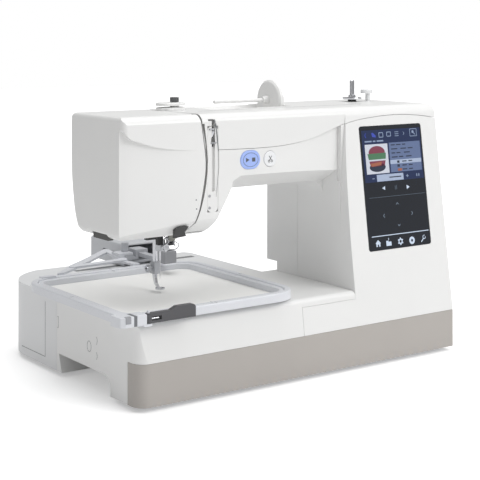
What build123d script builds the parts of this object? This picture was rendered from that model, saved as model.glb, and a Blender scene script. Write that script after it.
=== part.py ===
from build123d import *
import math
import os

# Sewing and embroidery machine with its embroidery unit and hoop, all in mm.
# Every place is given from the machine datum: x to the right from the left end of the base,
# y to the back from the front face of the base, z up from the table.
# place() moves these figures into the part's own frame.

os.makedirs("parts", exist_ok=True)

# ---------------------------------------------------------------- driving dimensions
DATUM_X, DATUM_Y = -214.0, -174.5   # where the datum stands in the part's own frame
BASE_W = 430.0                      # width of the base
BED_D = 155.0                       # depth of the bed under the arm
UNIT_D = 325.0                      # depth to the back of the embroidery unit
UNIT_W = 265.0                      # width of the embroidery unit
FOOT_H = 5.0
BAND_Z = 47.7                       # top of the coloured front band
BED_Z = 86.5                        # bed surface
TOP_Z = 289.0                       # top cover
HEAD_Z = 163.5                      # underside of the head
ARM_Z = 205.0                       # underside of the arm
COL_X = 283.0                       # inner wall of the column
SLOPE = 0.1317                      # how far the front face leans back per mm of height
LEAN_Z = 48.0                       # height where the front face starts to lean
WALL = 2.6
ARM_FRONT, ARM_BACK, COL_BACK = 31.0, 148.0, 173.0
CAVITY_FRONT = 39.5                 # front of the hollow in arm and head, before its inset
FIT = 0.05                          # radial play of shafts and pins

NEEDLE_X, NEEDLE_Y = 90.0, 105.0    # needle axis
PRESSER_X, PRESSER_Y = 92.0, 118.0  # presser bar axis
THREADER_X, THREADER_Y = 102.0, 100.0
NEEDLE_BAR_R, PRESSER_R, THREADER_R = 3.5, 3.0, 1.5
SHAFT_Y, SHAFT_Z, SHAFT_R = 105.0, 250.0, 5.0   # upper shaft
LOW_Z, LOW_R = 44.0, 4.0            # lower shaft, straight below the upper one
HOOK_Y, HOOK_R = 81.0, 3.5          # rotary hook axis, and radius of its stem
CRANK = 30.0 / 2                    # crank radius, half the needle bar stroke

# Controls and fittings of the casing
START = (157.5, 238.0)              # start and stop button, x and z
CUTTER = (184.0, 237.5)             # thread cutter button, x and z
SPOOL_Y, SPOOL_Z = 116.0, 295.5     # spool axis, along x
PIVOT_X = 257.5                     # swing axis of the spool pin, at spool height
WELL_R, WELL_WALL = 26.5, 2.4       # trough in the top cover for the spool
WELL_X = (150, 260)
WINDER = (375.5, 118.0)             # bobbin winder spindle, x and y
STOPPER = (401.0, 118.0)            # winder stopper, x and y
PLATE = (106.0, 109.0)              # middle of the pre-tension guide, x and y
KNOB = (PLATE[0] + 5, PLATE[1])     # pre-tension knob, x and y
SWITCH = (132, 60)                  # power switch, y and z
SLOT_Y0, SLOT_Y1 = 283.5, 292.5     # carriage slot in the embroidery unit
FRONT_SPLIT = 108.0                 # y of the seam between front and rear covers
GLASS_W, GLASS_H = 96.3, 141.3      # touch glass in the column front
GLASS_X, GLASS_Z = 356.9, 196.5
FEET = ((40, 32), (400, 28), (400, 128), (30, 250), (228, 292))   # x, y of the rubber feet

# Embroidery unit and hoop
GUIDE_Y, GUIDE_Z, GUIDE_R = (262, 300), 58, 4   # the two x guide rods
RAIL_X0, RAIL_X1, RAIL_Z0, RAIL_Z1 = 149.6, 158.4, 103.0, 107.5   # section of the y rail
PEG_X, PEG_Y = 137.4, 262           # peg on the carriage that locates the hoop bracket
HOOP = (-20.0, 203.0, -4.0, 221.0)  # outer ring x0, x1, y0, y1
HOOP_MID = ((HOOP[0] + HOOP[1]) / 2, (HOOP[2] + HOOP[3]) / 2)
HOOP_Z = 90.0
HOOP_RAIL = 7.5                     # width of the outer ring
SCREW_X, SCREW_Y, SCREW_R = 6.2, -8, 1.4   # pin the clamp lever turns on

# Flowing seam between the top cover and the lower covers: x, z from head to right end
WAVE = [(96, 251.3), (121.7, 250.7), (165, 249.9), (208.2, 251.3), (250, 258.5), (289, 270.6),
        (330, 276.6), (370.9, 278.1), (402, 276.2), (425.2, 273), (440, 270)]
WAVE_GAP = 0.5

# Seam between the face cover and the arm: x, z from top to bottom
FACE_SEAM = [(93.5, 300), (96, 278), (100, 252), (101.5, 236), (100, 220), (96, 199.7),
             (93.5, 189), (86, 173.9), (77, 165.5), (70, 160)]


# ---------------------------------------------------------------- frame and basic solids
def place(x, y, z=0.0):
    """Point given from the machine datum, in the part's own frame."""
    return (x + DATUM_X, y + DATUM_Y, z)


def at_z(z, x=0.0, y=0.0):
    """Level plane: local axes x and y, normal up."""
    return Plane(origin=place(x, y, z), x_dir=(1, 0, 0), z_dir=(0, 0, 1))


def at_y(y):
    """Upright plane across the machine: local axes x and z, normal towards the front."""
    return Plane(origin=place(0, y, 0), x_dir=(1, 0, 0), z_dir=(0, -1, 0))


def at_x(x, y=0.0, z=0.0):
    """Upright plane from front to back: local axes y and z, normal to the right."""
    return Plane(origin=place(x, y, z), x_dir=(0, 1, 0), z_dir=(1, 0, 0))


def front_at(z):
    """y of the leaning front face at height z."""
    return SLOPE * (z - LEAN_Z)


def save(part, name):
    part.label = name
    export_step(part, "parts/" + name + ".step")


def cut(*shapes):
    """Take the shapes, one after another, from the part being built."""
    for shape in shapes:
        add(shape, mode=Mode.SUBTRACT)


def keep_inside(shape):
    """Keep only what lies inside the shape."""
    add(shape, mode=Mode.INTERSECT)


def corners(sketch, test):
    """Vertices of a sketch whose local coordinates pass the test."""
    return [v for v in sketch.vertices() if test(v.X, v.Y)]


def block(x0, x1, y0, y1, z0, z1):
    with BuildPart() as box:
        with BuildSketch(at_z(z0)):
            with Locations(((x0 + x1) / 2, (y0 + y1) / 2)):
                Rectangle(x1 - x0, y1 - y0)
        extrude(amount=z1 - z0)
    return box.part


def rod(plane, centre, length, radius, hole=0.0):
    with BuildPart() as bar:
        with BuildSketch(plane):
            with Locations(centre):
                Circle(radius)
                if hole:
                    Circle(hole, mode=Mode.SUBTRACT)
        extrude(amount=length)
    return bar.part


def rod_x(x0, x1, y, z, radius, hole=0.0):
    return rod(at_x(x0), (y, z), x1 - x0, radius, hole)


def rod_y(y0, y1, x, z, radius):
    return rod(at_y(y0), (x, z), -(y1 - y0), radius)


def rod_z(z0, z1, x, y, radius):
    return rod(at_z(z0), (x, y), z1 - z0, radius)


def prism(plane, outline, depth):
    """Straight-sided outline, extruded."""
    with BuildPart() as solid:
        with BuildSketch(plane):
            with BuildLine():
                Polyline(*outline, close=True)
            make_face()
        extrude(amount=depth)
    return solid.part


def curved_prism(plane, curve, rest, depth):
    """Outline of a spline closed by straight lines through the rest points, extruded."""
    with BuildPart() as solid:
        with BuildSketch(plane):
            with BuildLine():
                edge = Spline(*curve)
                Polyline(edge @ 1, *rest, edge @ 0)
            make_face()
        extrude(amount=depth)
    return solid.part


def turned(outline, x, y, z=0.0, direction=(0, 0, 1)):
    """Solid of revolution about a line through x, y, z.

    Outline columns are the offsets along x and z, so (radius, height) for an upright axis
    and (length, radius) for an axis along x.
    """
    origin = place(x, y, z)
    with BuildPart() as solid:
        with BuildSketch(Plane(origin=origin, x_dir=(1, 0, 0), z_dir=(0, -1, 0))):
            with BuildLine():
                Polyline(*outline, close=True)
            make_face()
        revolve(axis=Axis(origin, direction))
    return solid.part


def cut_flutes(plane, ring_radius, count, radius, height):
    """Grip flutes cut round the axis of the plane."""
    with Locations(plane):
        with PolarLocations(ring_radius, count):
            Cylinder(radius=radius, height=height,
                     align=(Align.CENTER, Align.CENTER, Align.MIN), mode=Mode.SUBTRACT)


# ---------------------------------------------------------------- casing envelopes
def body_envelope(inset):
    """Closed form of arm, head and column, every face inset."""
    with BuildPart() as env:
        # front view
        with BuildSketch(at_y(-30)) as view:
            with BuildLine():
                Polyline((0, HEAD_Z), (0, TOP_Z), (BASE_W, TOP_Z), (BASE_W, FOOT_H - 60),
                         (COL_X, FOOT_H - 60), (COL_X, ARM_Z), (133, ARM_Z),
                         (104.5, HEAD_Z - 1.5), (78, HEAD_Z - 1.5), (74, HEAD_Z), close=True)
            make_face()
            fillet(corners(view, lambda x, z: abs(x - 133) < 1 and abs(z - ARM_Z) < 1), radius=14)
            fillet(corners(view, lambda x, z: abs(x - COL_X) < 1 and abs(z - ARM_Z) < 1),
                   radius=16)
            fillet(corners(view, lambda x, z: abs(x) < 1 and z > 280), radius=5)
            fillet(corners(view, lambda x, z: abs(x) < 1 and z < 180), radius=8)
            fillet(corners(view, lambda x, z: abs(x - BASE_W) < 1 and z > 280), radius=7)
            if inset > 0:
                offset(amount=-inset, kind=Kind.INTERSECTION)
        extrude(amount=-260)
        # plan: the column reaches further to the front and back than the arm
        front = CAVITY_FRONT if inset else ARM_FRONT
        step_x = COL_X - 24 + (26 if inset else 0)
        with BuildSketch(at_z(FOOT_H - 70)) as plan:
            with BuildLine():
                Polyline((0, front), (step_x, front), (step_x, -10), (BASE_W, -10),
                         (BASE_W, COL_BACK), (292, COL_BACK), (238, ARM_BACK), (0, ARM_BACK),
                         close=True)
            make_face()
            if inset > 0:
                offset(amount=-inset, kind=Kind.INTERSECTION)
            fillet(corners(plan, lambda x, y: x < 10 and y < 60), radius=max(7 - inset, 2))
            fillet(corners(plan, lambda x, y: x < 10 and y > 100), radius=max(12 - inset, 2))
            fillet(corners(plan, lambda x, y: x > 400 and y > 100), radius=max(18 - inset, 2))
        extrude(amount=380, mode=Mode.INTERSECT)
        # side view: leaning front of the column, rounded top edges
        with BuildSketch(at_x(-10)) as side:
            with BuildLine():
                Polyline((0, LEAN_Z), (front_at(TOP_Z), TOP_Z), (COL_BACK, TOP_Z),
                         (COL_BACK, -80), (0, -80), close=True)
            make_face()
            if inset > 0:
                offset(amount=-inset, kind=Kind.INTERSECTION)
            fillet(corners(side, lambda y, z: z > 270 and y < 60), radius=12 - min(inset, 3))
            fillet(corners(side, lambda y, z: z > 270 and y > 160), radius=12 - min(inset, 3))
        extrude(amount=460, mode=Mode.INTERSECT)
    return env.part


def base_envelope(inset):
    """Closed form of bed and embroidery unit; inset faces, with the underside left open."""
    with BuildPart() as env:
        with BuildSketch(at_z(FOOT_H if inset == 0 else -1)) as plan:
            with BuildLine():
                Polyline((0, 0), (BASE_W, 0), (BASE_W, BED_D), (UNIT_W, BED_D),
                         (UNIT_W, UNIT_D), (0, UNIT_D), close=True)
            make_face()
            if inset > 0:
                offset(amount=-inset, kind=Kind.INTERSECTION)
            fillet(corners(plan, lambda x, y: x < 10 and y < 10), radius=14 - inset)
            fillet(corners(plan, lambda x, y: x > 420 and y < 10), radius=11 - inset)
            fillet(corners(plan, lambda x, y: x > 420 and y > 100), radius=12 - inset)
            fillet(corners(plan, lambda x, y: x < 10 and y > 300), radius=72 - inset)
            fillet(corners(plan, lambda x, y: 250 < x < 270 and y > 300), radius=18 - inset)
        extrude(amount=(BED_Z - FOOT_H) if inset == 0 else (BED_Z - inset + 1))
        with BuildSketch(at_x(-10)) as side:
            with BuildLine():
                Polyline((0, -5), (0, LEAN_Z), (front_at(BED_Z), BED_Z), (UNIT_D, BED_Z),
                         (UNIT_D, -5), close=True)
            make_face()
            if inset > 0:
                offset(amount=-inset, kind=Kind.INTERSECTION)
            fillet(corners(side, lambda y, z: z > 80 and y < 20), radius=6 - inset)
            if inset == 0:
                fillet(corners(side, lambda y, z: z > 80 and y > 300), radius=5)
        extrude(amount=460, mode=Mode.INTERSECT)
    return env.part


# ---------------------------------------------------------------- cutters for the covers
def wave_curve(lift):
    return [(x, z + lift) for x, z in WAVE]


def below_wave():
    """Everything under the flowing seam."""
    rest = [(460, 270), (460, -90), (-20, -90), (-20, 251)]
    return curved_prism(at_y(-60), wave_curve(-WAVE_GAP / 2), rest, -400)


def above_wave():
    """Everything over the flowing seam."""
    rest = [(460, 270 + WAVE_GAP), (460, 340), (96, 340)]
    return curved_prism(at_y(-60), wave_curve(WAVE_GAP / 2), rest, -400)


def left_of_seam(gap):
    """Everything left of the face cover seam, the gap kept clear."""
    curve = [(x - gap, z) for x, z in FACE_SEAM]
    return curved_prism(at_y(-60), curve, [(70 - gap, 120), (-20, 120), (-20, 300)], -300)


def face_fall_back():
    """Lower faces of arm and head, falling back from the upper cover towards both ends."""
    plan_curve = [(-5, 39.5), (0, 38.2), (30, 34.6), (70, 31.8), (110, 31.0), (160, 31.0),
                  (200, 31.3), (245, 33.4), (COL_X + 1.5, 36.8)]                      # x, y
    front_curve = [(-8, 276), (3, 274), (8, 268.2), (16, 264.6), (35, 258.7), (60, 254.2),
                   (96, 251.4), *WAVE[1:6], (300, 272.6)]                             # x, z
    with BuildPart() as cutter:
        add(curved_prism(at_z(90), plan_curve,
                         [(COL_X + 1.5, 31.0), (COL_X - 24, 31.0), (COL_X - 24, 8), (-5, 8)],
                         200))
        keep_inside(curved_prism(at_y(0), front_curve,
                                 [(300, 206), (COL_X, 206), (COL_X, 90), (-8, 90)], -60))
    return cutter.part


def column_edge(grow=0.0):
    """Space left of the step where the leaning column front stands proud of the arm."""
    outline = [(200, 150), (283.2 + grow, 150), (284.8 + grow, 206), (286.8 + grow, 240),
               (290 + grow, 275), (292 + grow, 300), (200, 300)]
    return prism(at_y(-30), outline, -61 - grow)


def arm_bevel(grow=0.0):
    """Sloping cut along the lower front edge of the arm."""
    skew = 1.15 * grow
    right = COL_X + grow
    under = ARM_Z - 0.5 + skew
    with BuildPart() as cutter:
        with BuildSketch(at_y(30.5)):
            with BuildLine():
                Polyline((105 - skew, 162), (132 - skew, 206.5 + grow),
                         (135.5 - skew, 217 + skew), (145 - skew, 222 + skew),
                         (right, 222 + skew), (right, 120), (105 - skew, 120), close=True)
            make_face()
        with BuildSketch(at_y(62)):
            with BuildLine():
                Polyline((105 - skew, 161), (129 - skew, 201 + grow), (131 - skew, 203 + skew),
                         (142 - skew, under), (right, under), (right, 120),
                         (105 - skew, 120), close=True)
            make_face()
        loft(ruled=True)
    return cutter.part


def head_chin():
    """Cutter that rounds the lower front of the head."""
    mid_y, mid_z, radius = 56, 188, 26.5
    with BuildPart() as cutter:
        with BuildSketch(at_x(-5)):
            with BuildLine():
                Line((20, mid_z), (31, mid_z))
                CenterArc((mid_y, mid_z), radius, 180, 90)
                Polyline((31, mid_z), (mid_y - radius, mid_z))
                Polyline((mid_y, mid_z - radius), (mid_y, 140), (20, 140), (20, mid_z))
            make_face()
        extrude(amount=147)
    return cutter.part


def head_back():
    """Cutter for the curved back of the head."""
    curve = [(134, 292), (139, 284), (141.2, 272), (141.2, 248), (139.5, 228), (136, 207),
             (129.5, 180), (120.5, 164), (113, 154)]                                  # y, z
    return curved_prism(at_x(-5), curve, [(113, 140), (160, 140), (160, 292)], 115)


def arm_back():
    """Cutter that rounds the rear top edge of the arm."""
    radius, over = 7, 5
    with BuildPart() as cutter:
        with BuildSketch(at_x(108)):
            with BuildLine():
                CenterArc((ARM_BACK - radius, TOP_Z - radius), radius, 0, 90)
                Polyline((ARM_BACK - radius, TOP_Z), (ARM_BACK - radius, TOP_Z + over),
                         (ARM_BACK + over, TOP_Z + over), (ARM_BACK + over, TOP_Z - radius),
                         (ARM_BACK, TOP_Z - radius))
            make_face()
        extrude(amount=132)
    return cutter.part


def arch(grow):
    """Undercut through the base between its front leg and the block under the unit."""
    with BuildPart() as cutter:
        with BuildSketch(at_x(-5)) as side:
            with BuildLine():
                Polyline((56 - grow, -10), (56 - grow, 25 + grow), (168.5 + grow, 25 + grow),
                         (156.5 + grow, -10), close=True)
            make_face()
            fillet(corners(side, lambda y, z: y < 60 and z > 20), radius=13)
        extrude(amount=150 + grow)
    return cutter.part


def screen_plane(depth=0.0):
    """Plane in the column front at mid glass, normal out of the machine; depth goes inwards."""
    lean = math.atan(SLOPE)
    normal = (0, -math.cos(lean), math.sin(lean))
    x, y, z = place(GLASS_X, front_at(GLASS_Z), GLASS_Z)
    return Plane(origin=(x, y - normal[1] * depth, z - normal[2] * depth),
                 x_dir=(1, 0, 0), z_dir=normal)


def screen_pocket(width, height, depth0, depth1, radius):
    with BuildPart() as cutter:
        with BuildSketch(screen_plane(depth1)):
            RectangleRounded(width, height, radius)
        extrude(amount=depth1 - depth0)
    return cutter.part


# ---------------------------------------------------------------- casing shell
with BuildPart() as outer_form:
    add(body_envelope(0))
    cut(face_fall_back(), column_edge(), arm_bevel(), head_chin(), head_back(), arm_back())
    cut(block(COL_X - 20, 460, BED_D - 6, 200, -90, 98))
    add(base_envelope(0))
    cut(arch(0), block(-40, 480, -40, 400, -100, FOOT_H))

with BuildPart() as inner_form:
    add(body_envelope(WALL))
    # stepped back of the hollow, following the curved back of the head
    cut(block(-10, 120, 108, 200, 100, 300))
    add(block(2.8, 120, 107, 117, HEAD_Z + 5, 286))
    add(block(2.8, 120, 107, 124.5, 180, 286))
    add(block(2.8, 120, 107, 131, 200, 280))
    cut(arm_bevel(WALL), column_edge(WALL))
    cut(block(COL_X - 30, COL_X + 10.8, -40, 41, 200, 300))
    cut(block(COL_X - 20, COL_X + WALL, 58, 64.8, 180, 207.6))
    cut(block(COL_X - 30, 460, BED_D - 8.6, 200, -90, 100.6))
    add(base_envelope(WALL))
    cut(arch(WALL))

with BuildPart() as shell:
    add(outer_form.part)
    cut(inner_form.part)
    # open underside of the head around the needle and presser bars
    cut(block(12, 100, 62, 116, 150, 181),
        block(85, 99, 100, 123, 150, 181),
        block(98, 105, 94, 107, 150, 181),
        block(-3, 9, 64, 96, 150, 168))
    # screen window
    cut(screen_pocket(GLASS_W + 0.5, GLASS_H + 0.5, -2, 1.7, 3.2),
        screen_pocket(88, 124, 1, 16, 2))
    # buttons
    with BuildSketch(at_y(20)):
        with Locations(START):
            SlotOverall(26.6, 20.4)
        with Locations(CUTTER):
            Circle(8.8)
    extrude(amount=-30, mode=Mode.SUBTRACT)
    # shaft end, winder and its travel slot, stopper
    cut(rod_x(420, 440, SHAFT_Y, SHAFT_Z, 12), rod_z(280, 300, *WINDER, 4.2))
    with BuildSketch(at_z(280)):
        with Locations(WINDER):
            SlotOverall(14, 8.4)
    extrude(amount=20, mode=Mode.SUBTRACT)
    cut(rod_z(280, 300, *STOPPER, 3.08))
    # power switch, take-up slot, needle plate opening, carriage slot
    cut(block(422, 436, 125.9, 138.1, 49.4, 70.6),
        block(107.6, 112.4, 20, 45, 205, 283),
        block(60, 120, 58, 132, 80, 90),
        block(83, 254, SLOT_Y0, SLOT_Y1, 80, 90))

# ---------------------------------------------------------------- covers cut from the shell
with BuildPart() as band_zone:
    add(block(-5, 435, -5, 21, FOOT_H, BAND_Z))
    add(block(COL_X - 0.3, 435, 20, 108, FOOT_H, BAND_Z))
with BuildPart() as front_band:
    add(shell.part)
    keep_inside(band_zone.part)
save(front_band.part, "front_band")

with BuildPart() as bed_cover:
    add(shell.part)
    keep_inside(block(-5, COL_X - 0.3, -10, 173, 0, BED_Z + 1))
    cut(block(207, COL_X, -10, 9, 0, 78), block(-6, 440, -6, 21.3, 0, BAND_Z + 0.3))
save(bed_cover.part, "bed_cover")

with BuildPart() as unit_cover:
    add(shell.part)
    keep_inside(block(-5, UNIT_W + 1, 173.4, 330, 0, BED_Z + 1))
save(unit_cover.part, "unit_cover")

with BuildPart() as face_cover:
    add(shell.part)
    keep_inside(left_of_seam(1.4))
    keep_inside(block(-5, 130, 0, 200, 150, 300))
save(face_cover.part, "face_cover")

# Top cover, with the walls of the spool well and two ears carrying the spool pin
with BuildPart() as top_skin:
    add(shell.part)
    keep_inside(above_wave())
    cut(left_of_seam(0), rod_x(*WELL_X, SPOOL_Y, SPOOL_Z, WELL_R))
    cut(block(102.2, 115.9, 0, 36, 186, 276.4))
with BuildPart() as well_wall:
    add(rod_x(*WELL_X, SPOOL_Y, SPOOL_Z, WELL_R + WELL_WALL, WELL_R))
    add(block(148, 151, 70, 165, 260, 300))
    add(block(259, 262, 70, 165, 260, 300))
    keep_inside(rod_x(140, 270, SPOOL_Y, SPOOL_Z, WELL_R + WELL_WALL))
    keep_inside(block(140, 270, 70, 165, 250, TOP_Z - 1))
with BuildPart() as top_cover:
    add(top_skin.part)
    add(well_wall.part)
    add(block(253, 262, 107.5, 111.2, 280, 299))
    add(block(253, 262, 120.8, 124.5, 280, 299))
    add(rod_y(108, 124, PIVOT_X, SPOOL_Z, 1.5))
save(top_cover.part, "top_cover")

with BuildPart() as front_cover:
    add(shell.part)
    keep_inside(below_wave())
    cut(left_of_seam(0))
    keep_inside(block(60, 435, -10, FRONT_SPLIT, BAND_Z + 0.3, 300))
    # room for the bed cover and the thread guide strip
    cut(block(60, COL_X - 0.3, 9.2, 200, 0, BED_Z + 3),
        block(60, 207.4, -20, 200, 0, BED_Z + 3),
        block(60, COL_X, -20, 200, 77.7, BED_Z + 3),
        block(102.2, 115.9, 0, 36, 186, 280))
save(front_cover.part, "front_cover")

with BuildPart() as rear_cover:
    add(shell.part)
    keep_inside(below_wave())
    cut(left_of_seam(0))
    keep_inside(block(60, 435, FRONT_SPLIT + 0.4, 200, 0, 300))
    cut(block(-6, COL_X, 0, 400, 0, BED_Z + 3))
save(rear_cover.part, "rear_cover")

# Slotted strip in the arm front that the take-up lever reaches through
with BuildPart() as thread_strip:
    with BuildSketch(at_y(31.2)):
        with Locations((109.05, 231)):
            RectangleRounded(13.2, 90, 5)
        with Locations((110, 243)):
            SlotOverall(72, 4.2, rotation=90, mode=Mode.SUBTRACT)
    extrude(amount=-3.6)
save(thread_strip.part, "thread_guide_strip")

# ---------------------------------------------------------------- base and feet
# Floor plate with two walls that carry the x guide rods
with BuildPart() as base_tray:
    add(base_envelope(WALL + 0.15))
    keep_inside(block(-5, 440, -5, 330, FOOT_H, FOOT_H + 3))
    add(block(34, 40, 254, 310, FOOT_H, 64))
    add(block(256, 261, 254, 310, FOOT_H, 64))
    for rod_at in GUIDE_Y:
        cut(rod_x(30, 262, rod_at, GUIDE_Z, GUIDE_R))
    cut(arch(WALL + 0.2))
    cut(block(COL_X - 40, 440, BED_D - 8.8, 200, 0, 20))
    cut(block(UNIT_W - WALL - 0.3, COL_X + 60, BED_D - 9, 200, 0, 20))
    for foot_x, foot_y in FEET:
        cut(rod_z(0, 20, foot_x, foot_y, 1.7))
save(base_tray.part, "base_tray")

FOOT_PROFILE = [(0, 0), (9, 0), (10, 1.2), (8.6, 4.95), (0, 4.95)]   # radius, z
with BuildPart() as feet:
    for foot_x, foot_y in FEET:
        add(turned(FOOT_PROFILE, foot_x, foot_y))
save(feet.part, "rubber_feet")

# ---------------------------------------------------------------- screen, buttons, switch
with BuildPart() as glass:
    with BuildSketch(screen_plane(1.6)):
        RectangleRounded(GLASS_W, GLASS_H, 3)
    extrude(amount=1.5)
    chamfer(glass.faces().sort_by(Axis.Y)[0].edges(), length=0.3)
save(glass.part, "touch_glass")

with BuildPart() as lcd:
    with BuildSketch(screen_plane(7.0)):
        RectangleRounded(86, 122, 1.5)
    extrude(amount=5.2)
    with BuildSketch(screen_plane(8.6)):
        Rectangle(80, 60)
    extrude(amount=1.7)
save(lcd.part, "lcd_module")

BUTTON_BACK, STEM_BACK, STEM_LENGTH = 33.6, 40, 6.5   # caps, and the stems behind them

with BuildPart() as start_button:
    with BuildSketch(at_y(BUTTON_BACK)):
        with Locations(START):
            SlotOverall(26.0, 19.8)
    extrude(amount=3.6)
    fillet(start_button.faces().sort_by(Axis.Y)[0].edges(), radius=1.0)
    add(rod(at_y(STEM_BACK), START, STEM_LENGTH, 3.0))
save(start_button.part, "start_stop_button")

with BuildPart() as cutter_button:
    add(rod(at_y(BUTTON_BACK), CUTTER, 3.4, 8.5))
    fillet(cutter_button.faces().sort_by(Axis.Y)[0].edges(), radius=1.0)
    add(rod(at_y(STEM_BACK), CUTTER, STEM_LENGTH, 2.4))
save(cutter_button.part, "thread_cut_button")

with BuildPart() as power_switch:
    with BuildSketch(at_x(427.2)):
        with Locations(SWITCH):
            RectangleRounded(11.4, 19.4, 1)
    extrude(amount=3.6)
    with BuildSketch(at_x(415)):
        with Locations(SWITCH):
            Rectangle(8, 6)
    extrude(amount=12.4)
    add(rod_y(126.4, 137.6, 425.5, SWITCH[1], 1.6))
save(power_switch.part, "power_switch")

# ---------------------------------------------------------------- cast frame and bearings
TAKE_UP_Y, TAKE_UP_Z, TAKE_UP_PIN_R = 84, 256, 2.0   # pivot of the take-up lever

with BuildPart() as frame:
    add(block(156, 410, 62, 140, 8.4, 12))           # foot of the casting
    add(block(312, 388, 115, 124, 12, 226))          # column plate
    add(block(106, 406, 115, 124, 226, 262))         # arm beam
    add(prism(at_y(124), [(312, 226), (250, 226), (312, 180)], 9))   # web under the beam
    for bearing_x in (112, 398):                     # bearings of the upper shaft
        add(block(bearing_x, bearing_x + 8, 96, 115.2, 240, 260))
        add(rod_x(bearing_x, bearing_x + 8, SHAFT_Y, SHAFT_Z, 10.5))
    add(block(106, 112, 115, 130, 226, 262))         # head plate behind the crank
    add(block(80, 108, 126, 130, 205, 262))
    add(block(80, 94, 122, 130, 205, 262))
    add(block(80, 94, 122, 124.2, 182, 262))
    add(block(80, 94, 97, 124, 236, 244))            # guides of needle bar, presser bar, threader
    add(block(80, 106, 97, 124, 180.5, 187.5))
    add(block(112.2, 118, 79, 100, 251, 261))        # pivot of the take-up lever
    add(rod_x(108.4, 113, TAKE_UP_Y, TAKE_UP_Z, TAKE_UP_PIN_R))
    for hanger_x in (156, 404):                      # lower shaft hangers
        add(block(hanger_x, hanger_x + 6, 96, 114, 12, LOW_Z))
        add(rod_x(hanger_x, hanger_x + 6, SHAFT_Y, LOW_Z, 9))
    add(block(83, 162, 70, 88, 29.5, 33.5))          # hook bracket
    add(block(156, 162, 70, 100, 10, 33.5))
    add(rod_z(29.5, 36, NEEDLE_X, HOOK_Y, 7))
    # bores
    cut(rod_x(100, 420, SHAFT_Y, SHAFT_Z, SHAFT_R + FIT),
        rod_x(100, 420, SHAFT_Y, LOW_Z, LOW_R + FIT),
        rod_z(150, 290, NEEDLE_X, NEEDLE_Y, NEEDLE_BAR_R + FIT),
        rod_z(150, 210, PRESSER_X, PRESSER_Y, PRESSER_R + FIT),
        rod_z(20, 60, NEEDLE_X, HOOK_Y, HOOK_R + FIT),
        rod_z(150, 200, THREADER_X, THREADER_Y, THREADER_R + FIT))
save(frame.part, "main_frame")

# ---------------------------------------------------------------- upper shaft train
with BuildPart() as upper_shaft:
    add(rod_x(99.7, 437, SHAFT_Y, SHAFT_Z, SHAFT_R))
    chamfer(upper_shaft.faces().sort_by(Axis.X)[-1].edges(), length=0.6)
save(upper_shaft.part, "upper_shaft")

CRANK_PIN_R = 2.5
CRANK_PIN = (SHAFT_Y, SHAFT_Z + CRANK)   # y, z with the needle bar at the top
with BuildPart() as crank_disc:
    add(rod_x(99.6, 105, SHAFT_Y, SHAFT_Z, 20, SHAFT_R))
    add(rod_x(94.0, 99.7, *CRANK_PIN, CRANK_PIN_R))
    add(rod_x(105, 110.5, SHAFT_Y, SHAFT_Z, 9.5, SHAFT_R))
save(crank_disc.part, "crank_disc")

LINK = 40.0                              # between the pin centres
LINK_FOOT = (SHAFT_Y, CRANK_PIN[1] - LINK)
with BuildPart() as link:
    with BuildSketch(at_x(95.6)):
        with Locations(CRANK_PIN, LINK_FOOT):
            Circle(5.2)
        with Locations((SHAFT_Y, CRANK_PIN[1] - LINK / 2)):
            Rectangle(5, LINK)
        with Locations(CRANK_PIN):
            Circle(CRANK_PIN_R + FIT, mode=Mode.SUBTRACT)
        with Locations(LINK_FOOT):
            Circle(2.2, mode=Mode.SUBTRACT)
    extrude(amount=3.6)
save(link.part, "connecting_link")

WHEEL_X = 431.0
WHEEL_PROFILE = [(0, 5), (0, 9), (4, 9.5), (4, 26), (0, 28), (0, 31), (2, 32), (14, 32),
                 (16, 30), (17, 22), (17, 5)]   # x from WHEEL_X, radius
with BuildPart() as hand_wheel:
    add(turned(WHEEL_PROFILE, WHEEL_X, SHAFT_Y, SHAFT_Z, direction=(1, 0, 0)))
    cut_flutes(at_x(WHEEL_X, SHAFT_Y, SHAFT_Z), ring_radius=33.4, count=24, radius=2.2, height=14)
save(hand_wheel.part, "hand_wheel")

# ---------------------------------------------------------------- pulleys, belts and motor
TIMING_X = (290, 297)            # belt from the upper to the lower shaft
DRIVE_X = (409, 416)             # belt from the motor to the upper shaft
TIMING_R, DRIVE_R, MOTOR_PULLEY_R = 8, 27, 9
MOTOR_Y, MOTOR_Z, MOTOR_SHAFT_R = 88.0, 150.0, 3
BELT_SIDE, BELT_GAP, BELT_THICK = 0.3, 0.06, 1.3


def pulley(x0, x1, y, z, radius, bore, teeth):
    """Toothed pulley between two flanges."""
    with BuildPart() as wheel:
        with BuildSketch(at_x(x0)):
            with Locations((y, z)):
                Circle(radius)
                with PolarLocations(radius, teeth):
                    Circle(0.7, mode=Mode.SUBTRACT)
                Circle(bore, mode=Mode.SUBTRACT)
        extrude(amount=x1 - x0)
        for flange_x0, flange_x1 in ((x0 - 1.2, x0), (x1, x1 + 1.2)):
            add(rod_x(flange_x0, flange_x1, y, z, radius + 1.6, bore))
    return wheel.part


def belt(x0, x1, upper, upper_r, lower, lower_r):
    """Flat belt loop round two pulleys with centres given as y, z."""
    with BuildPart() as band:
        with BuildSketch(at_x(x0 + BELT_SIDE)):
            for grow, mode in ((BELT_GAP + BELT_THICK, Mode.ADD), (BELT_GAP, Mode.SUBTRACT)):
                with BuildSketch(Plane.XY, mode=Mode.PRIVATE) as loop:
                    with Locations(upper):
                        Circle(upper_r + grow)
                    with Locations(lower):
                        Circle(lower_r + grow)
                    make_hull()
                add(loop.sketch, mode=mode)
        extrude(amount=x1 - x0 - 2 * BELT_SIDE)
    return band.part


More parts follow.
